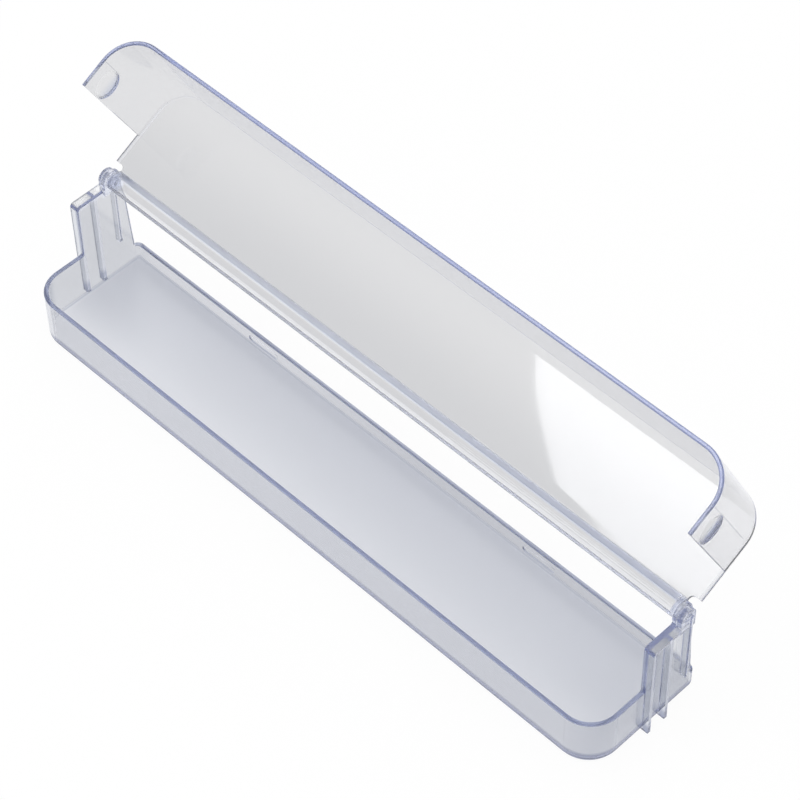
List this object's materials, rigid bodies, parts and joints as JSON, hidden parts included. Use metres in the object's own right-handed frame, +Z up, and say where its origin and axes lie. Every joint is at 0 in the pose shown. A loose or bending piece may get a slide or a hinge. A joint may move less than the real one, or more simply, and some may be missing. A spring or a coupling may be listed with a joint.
{
  "type": "fridge door shelf",
  "caption": "Clear fridge door shelf: a shallow tray with end uprights that hang on the door, and a deep clear lid that flips up on moulded hinge pins.",
  "frame": {"origin": "middle of the tray's flat underside", "axes": "+X along the shelf, +Y towards the door it hangs on, +Z up"},
  "size_m": [0.4898, 0.1398, 0.1887],
  "materials": {
    "tray_clear_plastic": "clear, faintly blue, with a satin floor",
    "lid_clear_plastic": "clear, faintly blue, polished"
  },
  "bodies": {
    "tray": {"door_tray": "tray_clear_plastic"},
    "lid": {"flip_lid": "lid_clear_plastic"}
  },
  "joints": [
    {"name": "lid_hinge", "type": "hinge", "parent": "tray", "child": "lid", "pos_m": [0, 0.028, 0.084], "axis": [1, 0, 0], "range_deg": [0, 152]}
  ]
}
